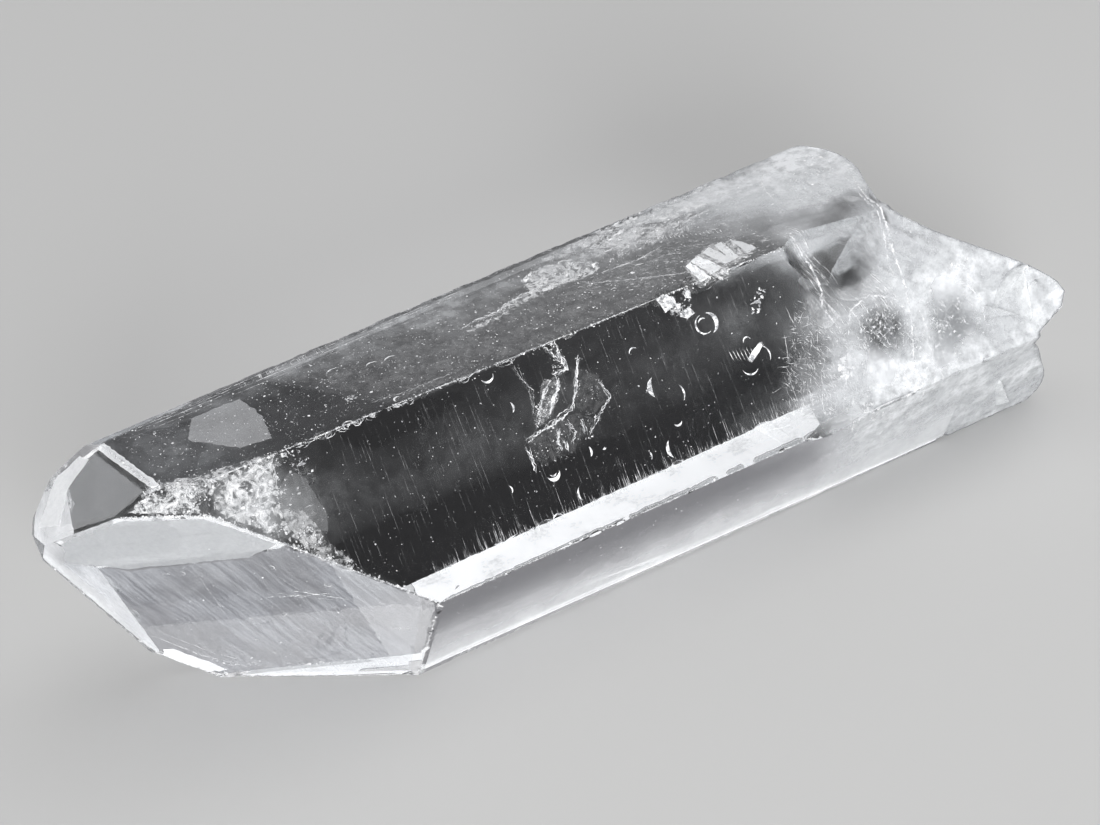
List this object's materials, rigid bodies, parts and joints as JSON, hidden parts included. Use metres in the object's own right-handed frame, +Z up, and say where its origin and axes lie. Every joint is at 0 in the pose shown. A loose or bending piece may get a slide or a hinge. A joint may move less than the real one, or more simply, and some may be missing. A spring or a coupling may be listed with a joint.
{
  "type": "quartz crystal point",
  "caption": "Clear quartz point: a six-sided prism with a worn, flat-faced tip and a broken root, lying on one of its long faces.",
  "frame": {"origin": "middle of the underside of the crystal's box, on the surface that it lies on", "axes": "+X along the crystal's length from its point to its broken root, +Z up from the long face that it lies on"},
  "size_m": [0.0604, 0.0188, 0.016],
  "materials": {
    "clear_quartz": "clear, colourless natural crystal faces with fine growth lines, milky white at the broken root"
  },
  "bodies": {
    "root": {"quartz_point": "clear_quartz"}
  },
  "joints": []
}
